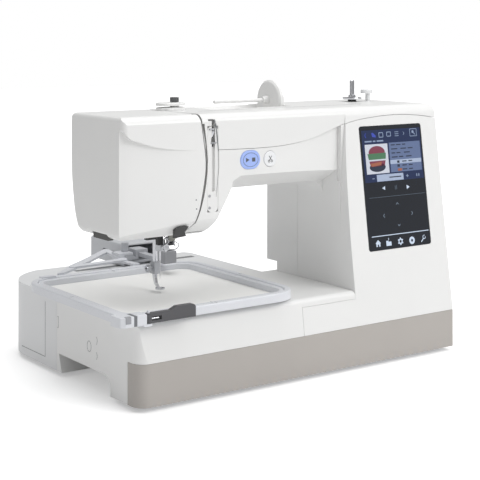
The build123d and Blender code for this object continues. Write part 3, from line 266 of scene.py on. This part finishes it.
class Sheet:
    """Flat shapes, print and painted shade alike, collected in one mesh, laid on a plane given by an origin and two
    directions (mm).
    """

    def __init__(self, name, origin, ux, uy, lift, mat, body, thick=0.12):
        self.name, self.o, self.ux, self.uy = name, origin, ux.normalized(), uy.normalized()
        self.n = self.ux.cross(self.uy).normalized()
        self.lift, self.mat, self.body, self.thick = lift, mat, body, thick
        self.v, self.f = [], []

    def poly(self, pts):
        k = len(self.v)
        n = len(pts)
        for h in (self.lift, self.lift + self.thick):
            for u, w in pts:
                self.v.append(self.o + (self.ux * u + self.uy * w + self.n * h) * MM)
        self.f.append([k + n + i for i in range(n)])
        self.f.append([k + n - 1 - i for i in range(n)])
        for i in range(n):
            j = (i + 1) % n
            self.f.append([k + i, k + j, k + n + j, k + n + i])

    def rect(self, u0, w0, u1, w1):
        self.poly([(u0, w0), (u1, w0), (u1, w1), (u0, w1)])

    def line(self, pts, width):
        for (a, b), (c, d) in zip(pts, pts[1:]):
            L = math.hypot(c - a, d - b) or 1
            nx, ny = -(d - b) / L * width / 2, (c - a) / L * width / 2
            self.poly([(a + nx, b + ny), (a - nx, b - ny), (c - nx, d - ny), (c + nx, d + ny)])

    def ring(self, u, w, r, width, n=28, a0=0.0, a1=360.0, ry=None):
        pts = []
        for i in range(n + 1):
            a = math.radians(a0 + (a1 - a0) * i / n)
            pts.append((u + r * math.cos(a), w + (ry or r) * math.sin(a)))
        self.line(pts, width)

    def disc(self, u, w, r, n=24, ry=None):
        self.poly([(u + r * math.cos(2 * math.pi * i / n), w + (ry or r) * math.sin(2 * math.pi * i / n)) for i in range(n)])

    def done(self):
        if self.v:
            return add_mesh(self.name, self.v, self.f, self.mat, self.body)


def box(name, x0, x1, y0, y1, z0, z1, mat, body, bevel=0.0):
    v = [P(x, y, z) for z in (z0, z1) for y in (y0, y1) for x in (x0, x1)]
    f = [(0, 2, 3, 1), (4, 5, 7, 6), (0, 1, 5, 4), (2, 6, 7, 3), (0, 4, 6, 2), (1, 3, 7, 5)]
    o = add_mesh(name, v, f, mat, body)
    if bevel:
        m = o.modifiers.new("edge", "BEVEL")
        m.width = bevel * MM
        m.segments = 3
    return o


def wire(name, pts, r, mat, body, cyclic=False):
    cu = bpy.data.curves.new(name, "CURVE")
    cu.dimensions = "3D"
    cu.bevel_depth = r * MM
    cu.bevel_resolution = 4
    sp = cu.splines.new("NURBS")
    sp.points.add(len(pts) - 1)
    for q, p in zip(sp.points, pts):
        v = P(*p)
        q.co = (v.x, v.y, v.z, 1)
    sp.order_u = 3
    sp.use_endpoint_u = not cyclic
    sp.use_cyclic_u = cyclic
    cu.use_fill_caps = True
    o = bpy.data.objects.new(name, cu)
    scene.collection.objects.link(o)
    cu.materials.append(mat)
    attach(o, body)
    return o


def pin(name, a, b, r, mat, body, n=24):
    a, b = P(*a), P(*b)
    d = (b - a).normalized()
    s = d.orthogonal().normalized()
    t = d.cross(s)
    v, f = [], []
    for c in (a, b):
        for i in range(n):
            ang = 2 * math.pi * i / n
            v.append(c + (s * math.cos(ang) + t * math.sin(ang)) * r * MM)
    f.append(list(range(n))[::-1])
    f.append([n + i for i in range(n)])
    for i in range(n):
        j = (i + 1) % n
        f.append([i, j, n + j, n + i])
    return add_mesh(name, v, f, mat, body)


# ---- touch screen: generic layout of panels, tiles and signs, no lettering
SLOPE = 0.1317
TILT = math.atan(SLOPE)
SUX = Vector((1, 0, 0))
SUY = Vector((0, -math.sin(TILT) * -1, math.cos(TILT)))       # up along the leaning front
GW, GH = 96.3, 141.3
ctr = P(356.9, SLOPE * (196.5 - 48.0), 196.5)
nrm = Vector((0, -math.cos(TILT), math.sin(TILT)))
tl = ctr - SUX * GW / 2 * MM + SUY * GH / 2 * MM


def screen(name, mat, lift=-0.08):
    """u to the right and w downwards, in mm from the top left corner of the glass; lift is out of the glass."""
    s = Sheet(name, tl, SUX, -SUY, 0, mat, "frame")
    s.n = nrm
    s.lift = lift
    s.thick = 0.06
    return s


s = screen("lcd_field", NAVY, -0.1); s.rect(3.2, 4.8, 94.2, 64.3); s.done()
s = screen("lcd_panels", PANEL, -0.03)
s.rect(43.6, 20.4, 92.4, 54.6)
s.done()
s = screen("lcd_light_bars", PANEL_LIGHT, -0.03)
s.rect(21, 56.2, 62, 64.0)
s.done()
s = screen("lcd_list_light", PANEL_LIGHT, 0.03)
s.rect(43.6, 40.6, 92.4, 45.2)
s.done()
s = screen("lcd_thumbnail", THUMB, -0.03); s.rect(6.6, 21.0, 41.2, 54.9); s.done()
s = screen("lcd_row_marks", DARKMARK, 0.1)
random.seed(4)
for i in range(4):
    u = 46.5
    for k in range(3):
        w = random.uniform(5.0, 10.0)
        s.rect(u, 22.6 + i * 4.7, min(u + w, 90), 23.8 + i * 4.7)
        u += w + random.uniform(1.6, 6.0)
for i in range(3):
    s.rect(62, 42.2 + i * 4.6, 69, 43.4 + i * 4.6)
    s.rect(72, 42.2 + i * 4.6, 78, 43.4 + i * 4.6)
s.rect(54.2, 41.6, 57.8, 44.4); s.rect(54.2, 46.2, 57.8, 49.0)
s.rect(40.0, 59.4, 58.5, 60.6)
s.disc(23.6, 47.6, 12.2, ry=5.2)
s.done()
s = screen("lcd_patch_a", GREEN, 0.16)
s.poly([(9.6, 31.8), (37.6, 31.4), (37.0, 38.4), (11.2, 38.6)])
s.done()
s = screen("lcd_patch_b", RED, 0.1)
s.disc(24.0, 30.6, 12.4, ry=7.4)
s.poly([(11.6, 40.4), (36.4, 40.2), (34.6, 46.4), (13.4, 46.8)])
s.done()
s = screen("lcd_patch_c", AMBER, 0.2)
s.poly([(12.6, 43.0), (30.4, 41.4), (29.0, 45.4), (14.6, 46.4)])
s.rect(54.2, 50.8, 60.6, 53.6)
s.done()
s = screen("lcd_icons", ICON_DIM, 0.02)
s.line([(29.6, 8.2), (35.6, 8.2), (35.6, 13.4), (29.6, 13.4), (29.6, 8.2)], 0.9)
s.line([(41.6, 8.0), (47.6, 8.0), (47.6, 12.8), (41.6, 12.8), (41.6, 8.0)], 0.9)
for k in range(3):
    s.line([(54.0, 8.4 + k * 2.3), (60.0, 8.4 + k * 2.3)], 0.7)
s.line([(67.2, 8.6), (68.9, 10.4), (67.2, 12.2)], 0.6)
s.line([(78.0, 6.0), (88.6, 6.0), (88.6, 14.4), (78.0, 14.4), (78.0, 6.0)], 0.7)
s.disc(82.6, 9.4, 1.7); s.line([(83.6, 10.4), (86.2, 12.8)], 1.0)
for u0, u1 in ((7, 17.5), (19.4, 23.4), (25.4, 35.5)):
    s.rect(u0, 16.8, u1, 18.4)
s.line([(14.0, 60.2), (17.4, 60.2)], 0.9)
s.line([(66.4, 60.0), (70.0, 60.0)], 0.9); s.line([(68.2, 58.2), (68.2, 61.8)], 0.9)
s.rect(82.6, 58.4, 83.9, 61.6); s.rect(85.9, 58.4, 87.2, 61.6)
s.done()
s = screen("lcd_icons_blue", BLUEMARK, 0.02)
s.line([(9.6, 8.0), (7.8, 10.6), (9.6, 13.2)], 0.8)
s.poly([(18.0, 8.2), (20.4, 7.8), (24.6, 11.4), (24.4, 13.4), (19.0, 12.6)])
s.done()
s = screen("touch_keys", ICON, -0.02)
s.poly([(32.0, 69.6), (27.6, 71.8), (32.0, 74.0)])
s.poly([(65.6, 70.6), (70.2, 73.0), (65.6, 75.4)])
# house
s.poly([(10.2, 133.4), (14.4, 129.4), (18.6, 133.4)])
s.rect(11.4, 133.3, 17.4, 137.0)
# folder
s.poly([(26.6, 131.6), (29.6, 131.6), (30.6, 132.8), (34.4, 132.8), (34.4, 137.4), (26.6, 137.4)])
s.line([(30.5, 131.2), (30.5, 128.6)], 0.8)
# gear wheel
s.ring(48.6, 134.1, 2.5, 1.6)
for i in range(6):
    a = math.radians(30 + i * 60)
    s.line([(48.6 + 2.6 * math.cos(a), 134.1 + 2.6 * math.sin(a)), (48.6 + 4.3 * math.cos(a), 134.1 + 4.3 * math.sin(a))], 1.5)
# help dot
s.disc(66.5, 134.7, 4.3)
# spanner
s.line([(81.0, 138.0), (84.8, 134.0)], 1.2)
s.ring(86.0, 132.6, 2.0, 0.8, a0=-10, a1=300)
s.done()
s = screen("touch_key_dark", DARKMARK, 0.05)
s.disc(66.5, 134.7, 1.6)
s.rect(13.4, 134.6, 15.4, 137.0)
s.done()
s = screen("touch_pause", DIM, -0.02)
s.rect(47.2, 69.8, 48.1, 74.6); s.rect(49.3, 69.8, 50.2, 74.6)
s.rect(7.0, 81.5, 93.4, 82.0)
s.done()
s = screen("touch_arrows", ARROW, -0.02)
s.line([(46.9, 91.8), (48.7, 89.7), (50.5, 91.8)], 0.8)
s.line([(46.9, 114.5), (48.7, 116.6), (50.5, 114.5)], 0.8)
s.line([(27.8, 101.1), (25.8, 103.1), (27.8, 105.1)], 0.8)
s.line([(69.4, 101.5), (71.4, 103.5), (69.4, 105.5)], 0.8)
s.done()
s = screen("touch_rule", ICON, -0.02); s.rect(5.6, 124.9, 94.0, 125.8); s.done()

# ---- start and stop button sign, thread cutter sign
START, CUT = (157.5, 238.0), (184.0, 237.5)
s = Sheet("start_sign", P(START[0], 30.0, START[1]), Vector((1, 0, 0)), Vector((0, 0, 1)), 0.02, PRINT_GREY, "start_button", 0.12)
s.n = Vector((0, -1, 0))
s.ring(0, 0, 9.8, 0.4, n=40, ry=7.4)
s.poly([(-6.2, 2.4), (-6.2, -2.4), (-1.6, 0)])
s.rect(1.8, -2.1, 6.0, 2.1)
s.done()
s = Sheet("cutter_sign", P(CUT[0], 30.2, CUT[1]), Vector((1, 0, 0)), Vector((0, 0, 1)), 0.02, BLACK, "cut_button", 0.12)
s.n = Vector((0, -1, 0))
s.line([(-1.8, 3.2), (1.3, -1.6)], 0.6)
s.line([(1.8, 3.2), (-1.3, -1.6)], 0.6)
s.ring(-1.9, -2.5, 1.1, 0.5, n=18)
s.ring(1.9, -2.5, 1.1, 0.5, n=18)
s.done()

# ---- painted groove and seam shade on the left end of base and unit
def side(name, mat, lift=0.02):
    sh = Sheet(name, P(0, 0, 0), Vector((0, -1, 0)), Vector((0, 0, 1)), lift, mat, "frame", 0.1)
    sh.n = Vector((-1, 0, 0))
    return sh


s = side("side_groove_shade", SEAM)
s.line([(-201, 76), (-201, 14.8), (-260, 14.8)], 0.55)
s.ring(-100, 47, 4.2, 0.4, n=32, ry=5.6)
s.line([(-84, 52), (-82.5, 56), (-84, 60)], 0.4)
s.line([(-84, 44), (-82.5, 40), (-84, 36.5)], 0.4)
s.line([(-171.4, 65), (-169.6, 65), (-169.6, 53), (-171.4, 53)], 0.45)
s.done()

# ---- dark guard and metal hardware under the head
gp = [(62.3, 163.0), (75.6, 164.0), (74.0, 168.0), (78.8, 173.6), (75.0, 175.0), (66.6, 174.3), (62.7, 172.3)]
gv = [P(x, y, z) for y in (30.75, 36.0) for x, z in gp]
gn = len(gp)
gf = [tuple(range(gn)), tuple(range(gn, 2 * gn))[::-1]] + [((i + 1) % gn, i, gn + i, gn + (i + 1) % gn) for i in range(gn)]
add_mesh("head_guard", gv, gf, GUARD, "frame")
box("guard_block", 75.0, 81.0, 84, 90, 146.8, 160, BLACK, "frame", 0.4)
box("guard_shelf", 60.5, 72.0, 84, 90, 153.6, 160, BLACK, "frame", 0.4)
box("guard_tab", 94.2, 96.2, 80, 84, 152.6, 163, WHITE, "frame", 0.4)
box("guard_plate", 85.4, 93.4, 79.5, 82.5, 151.0, 163, OLIVE, "frame", 0.5)
pin("guard_pin", (81.2, 82.6, 153.2), (86.6, 81.0, 154.6), 0.9, CHROME, "frame")
wire("guard_spring", [(79.5, 82.6, 158.0), (83.2, 80.0, 153.4), (85.6, 78.6, 150.8), (82.0, 80.6, 147.8), (78.4, 82.4, 145.2)], 0.6, CHROME, "frame")
pin("threader_pin", (99.5, 94.4, 146), (99.5, 89.6, 143.6), 0.7, CHROME, "threader")
wire("thread_hook", [(95.6, 102, 139.2), (99.5, 99, 137.8), (105.2, 95.5, 138.0), (107.2, 92.8, 142.8), (103.8, 93.5, 147.0),
                     (98.6, 97.6, 147.4)], 0.55, CHROME, "needle_group")
wire("threader_wire", [(97.5, 98.2, 150.4), (92.0, 95.0, 147.2), (88.0, 92.5, 143.8), (86.6, 92.0, 139.4)], 0.6, CHROME, "threader")
pin("clamp_screw_slot", (90, 91.4, 142), (90, 91.6, 142), 2.3, STEEL, "needle_group")
wire("stitch_thread", [(90, 104.2, 128.5), (89.7, 103.9, 120), (90.0, 104.3, 111), (90, 104.9, 106.5)], 0.22, THREAD, "needle_group")

pin("holder_knob_cap", (80.15, 118, 116.5), (80.85, 118, 116.5), 3.5, CHROME, "presser_group")
pin("holder_knob_dot", (79.95, 118, 116.5), (80.2, 118, 116.5), 1.3, GAP_GREY_AND_SHADE, "presser_group")
# painted shade: dark grey box in the notch under the head's lower left edge
box("notch_shade", 2.4, 8.6, 64.6, 95.4, 161.5, 167.6, GAP_GREY_AND_SHADE, "frame")

# ---- hoop clamp rod and peg, hoop centre marks
pin("latch_rod", (8.6, -10.3, 95.6), (16.6, -10.3, 95.6), 0.85, CHROME, "hoop_latch")
# painted shade: thin black sheet in the pocket behind the latch rod end
box("latch_pocket_shade", 14.6, 19.9, -9.62, -9.44, 93.7, 97.3, BLACK, "hoop_latch")
box("clamp_peg", -21.0, -15.0, -11.75, -8.2, 93.6, 100.6, NOSE, "y_carriage", 0.3)
box("clamp_block", -8.2, 3.0, -11.25, 3.6, 89.8, 100.7, HOOP, "y_carriage", 0.9)
# painted shade: dark box filling the split between the clamp corner and the clamp block
box("clamp_split_shade", -11.6, -8.0, -11.08, 3.45, 90.2, 100.06, SEAM, "y_carriage")
outline = [(-11.2, -11.25), (-21, -11.2), (-25.6, -9.0), (-27.2, -4.0), (-27.4, 7.5), (-19.4, 8.6), (-14, 3.6), (-11.2, 3.6)]
cv = [P(x, y, z) for z in (89.8, 100.15) for x, y in outline]
nn = len(outline)
cf = [tuple(range(nn))[::-1], tuple(range(nn, 2 * nn))] + [(i, (i + 1) % nn, nn + (i + 1) % nn, nn + i) for i in range(nn)]
co = add_mesh("clamp_corner", cv, cf, HOOP, "y_carriage")
cm = co.modifiers.new("edge", "BEVEL")
cm.width = 0.8 * MM
cm.segments = 3
s = Sheet("hoop_marks", P(0, 0, 99.0), Vector((1, 0, 0)), Vector((0, 1, 0)), 0.02, SEAM, "y_carriage", 0.06)
s.rect(91.2, 214.8, 91.8, 220.2); s.rect(91.2, -2.6, 91.8, 2.8)
s.rect(-18.6, 108.2, -13.6, 108.8); s.rect(196.8, 108.2, 201.8, 108.8)
s.done()
s = Sheet("hoop_centre_lines", P(0, 0, 98.0), Vector((1, 0, 0)), Vector((0, 1, 0)), 0.02, SEAM, "y_carriage", 0.06)
s.rect(91.2, 207.0, 91.8, 212.4); s.rect(91.2, 4.4, 91.8, 10.0)
s.done()

# ---- screws of the thread strip, painted shade in the slot beside the face cover
for k, z in enumerate((190.5, 203.0)):
    pin("strip_screw_%d" % k, (105.0, 30.9, z), (105.0, 31.3, z), 1.5, STEEL, "frame")
# painted shade: dark box at the back of the slot above the white filler
box("strip_slot_shade", 102.6, 115.4, 35.0, 36.2, 254, 275, DARK, "frame")
box("strip_back", 102.6, 115.4, 34.4, 36.2, 187, 254, WHITE, "frame")


def on_front(x, z, lift):
    """Point just outside the front of arm and head, over the rounded top edge when z passes it."""
    if z <= 277:
        return P(x, 31.0 - lift, z)
    th = math.asin(min(1.0, (z - 277) / 12.0))
    return P(x, 43.0 - (12 + lift) * math.cos(th), 277 + (12 + lift) * math.sin(th))


def ribbon(name, rows, mat, lift=0.18):
    """Thin shadow band between a left and a right edge, given bottom to top as (z, x left, x right)."""
    fine = []
    for (z0, a0, b0), (z1, a1, b1) in zip(rows, rows[1:]):
        for k in range(6):
            t = k / 6
            fine.append((z0 + (z1 - z0) * t, a0 + (a1 - a0) * t, b0 + (b1 - b0) * t))
    fine.append(rows[-1])
    v, f = [], []
    for z, a, b in fine:
        v += [on_front(a, z, lift), on_front(b, z, lift)]
    for i in range(len(fine) - 1):
        f.append((2 * i, 2 * i + 1, 2 * i + 3, 2 * i + 2))
    return add_mesh(name, v, f, mat, "frame")


# painted shade along the seam beside the face cover
ribbon("cover_seam_shade", [(176, 86.4, 87.2), (188.6, 92.3, 93.6), (203.0, 96.3, 97.9), (215.7, 98.9, 100.6), (228.5, 100.4, 102.2),
                     (241.5, 101.0, 102.6), (258.9, 99.6, 101.0), (268, 98.0, 99.8), (276.4, 96.0, 98.6), (280, 94.6, 98.6),
                     (284, 92.4, 98.0), (287, 90.2, 96.6), (288.9, 88.4, 94.6)], GAP_GREY_AND_SHADE)
# painted shade along the thread strip's edges, darker at the top and softer lower down
ribbon("strip_edge_shade", [(249.3, 116.0, 116.7), (259.9, 114.5, 115.6), (270.4, 113.3, 114.5), (280.0, 111.6, 113.0), (285.0, 110.0, 111.4),
                      (288.4, 107.6, 108.6)], SEAM, 0.2)
ribbon("strip_low_shade", [(201.7, 113.0, 113.4), (214.6, 114.6, 115.1), (231.9, 116.3, 117.0), (249.3, 116.0, 116.7)], SOFT_SEAM_SHADE, 0.2)
box("strip_eyelet", 106.6, 113.4, 30.3, 33.0, 257.6, 259.4, STEEL, "frame", 0.3)
box("strip_block", 107.4, 110.0, 30.2, 34.0, 259.4, 263.8, GAP_GREY_AND_SHADE, "frame", 0.3)
pin("strip_pin", (104.4, 30.2, 273.0), (109.4, 30.2, 273.0), 0.8, STEEL, "frame")
box("strip_hook", 103.4, 109.8, 31.2, 35.4, 280.6, 283.4, GAP_GREY_AND_SHADE, "frame", 0.3)
for k, (x, z) in enumerate(((88.3, 200.3), (88.7, 190.9))):
    pin("cover_screw_%d" % k, (x, 31.2, z), (x, 31.0, z), 0.7, SEAM, "frame")
pin("winder_hub", (375.5, 118, 289.3), (375.5, 118, 291.9), 5.2, BLACK, "winder")
# painted shade along a panel seam on the top cover
s = Sheet("top_seam_shade", P(0, 0, 289.0), Vector((1, 0, 0)), Vector((0, 1, 0)), 0.02, SEAM, "frame", 0.06)
s.line([(120, 74), (352, 74), (352, 99)], 0.5)
s.done()
# painted shade: black sheet over the slot in the carriage nose top
s = Sheet("nose_slot_shade", P(0, 0, 114.0), Vector((1, 0, 0)), Vector((0, 1, 0)), 0.02, BLACK, "x_carriage", 0.08)
s.rect(149.7, 186.2, 158.3, 200.8)
s.done()

# ------------------------------------------------------------------ floor, light, camera
me = bpy.data.meshes.new("floor")
R = 6.0
me.from_pydata([(-R, -R, 0), (R, -R, 0), (R, R, 0), (-R, R, 0)], [], [(0, 1, 2, 3)])
floor = bpy.data.objects.new("floor", me)
scene.collection.objects.link(floor)
fm, fnt, fb, ftex = base("floor_white")
fn = noise(fnt, ftex, 3.0, 2.0)
mixed(fnt, fb, ramp(fnt, fn, 0, 1), (0.93, 0.93, 0.93, 1), (0.95, 0.95, 0.95, 1))
fb.inputs["Roughness"].default_value = 0.7
fb.inputs["Specular IOR Level"].default_value = 0.1
fb.inputs["Emission Color"].default_value = (1.0, 1.0, 1.0, 1)
dist = fnt.nodes.new("ShaderNodeVectorMath")
dist.operation = "LENGTH"
fnt.links.new(ftex.outputs["Object"], dist.inputs[0])
glow = ramp(fnt, dist.outputs["Value"], 0.34, 1.0, 0.45, 1.6)
fray = fnt.nodes.new("ShaderNodeLightPath")
fmul = fnt.nodes.new("ShaderNodeMath")
fmul.operation = "MULTIPLY"
fnt.links.new(glow, fmul.inputs[0])
fnt.links.new(fray.outputs["Is Camera Ray"], fmul.inputs[1])
fnt.links.new(fmul.outputs[0], fb.inputs["Emission Strength"])
me.materials.append(fm)

world = bpy.data.worlds.new("studio")
world.use_nodes = True
bg = next(n for n in world.node_tree.nodes if n.type == "BACKGROUND")
bg.inputs["Color"].default_value = (1.0, 1.0, 1.0, 1)
bg.inputs["Strength"].default_value = 0.40
wnt = world.node_tree
seen = wnt.nodes.new("ShaderNodeBackground")
seen.inputs["Color"].default_value = (1.0, 1.0, 1.0, 1)
seen.inputs["Strength"].default_value = 1.0
ray = wnt.nodes.new("ShaderNodeLightPath")
both = wnt.nodes.new("ShaderNodeMixShader")
wout = next(n for n in wnt.nodes if n.type == "OUTPUT_WORLD")
wnt.links.new(ray.outputs["Is Camera Ray"], both.inputs[0])
wnt.links.new(bg.outputs[0], both.inputs[1])
wnt.links.new(seen.outputs[0], both.inputs[2])
wnt.links.new(both.outputs[0], wout.inputs["Surface"])
scene.world = world


def area(name, loc, target, size, power, color=(1, 1, 1)):
    d = bpy.data.lights.new(name, "AREA")
    d.shape = "RECTANGLE"
    d.size, d.size_y = size
    d.energy = power
    d.color = color
    o = bpy.data.objects.new(name, d)
    o.location = loc
    o.rotation_euler = (Vector(target) - Vector(loc)).to_track_quat("-Z", "Y").to_euler()
    scene.collection.objects.link(o)
    return o


area("key", (0.9, -1.9, 1.7), (0.0, 0.0, 0.15), (1.6, 1.2), 27)
area("top", (0.1, 0.1, 2.0), (0.0, 0.0, 0.1), (2.2, 2.2), 25)

cam_d = bpy.data.cameras.new("photo_camera")
cam = bpy.data.objects.new("photo_camera", cam_d)
scene.collection.objects.link(cam)
scene.camera = cam
cam_d.sensor_width = 36.0
cam_d.lens = 93.45
cam_d.clip_start, cam_d.clip_end = 0.05, 50
CAM = P(-627.4, -1049.5, 377.0)
cam.location = CAM
cam.rotation_euler = (math.radians(90), 0, math.radians(-35.527))
drv = cam_d.driver_add("shift_y").driver
drv.type = "SCRIPTED"
var = drv.variables.new()
var.name = "px"
var.type = "TRANSFORMS"
var.targets[0].id = cam
var.targets[0].transform_type = "LOC_X"
var.targets[0].transform_space = "WORLD_SPACE"
drv.expression = "-0.4375 if abs(px - %.6f) < 0.0005 else 0.0" % CAM.x
scene.view_settings.view_transform = "Standard"
scene.view_settings.look = "None"

bpy.context.view_layer.update()
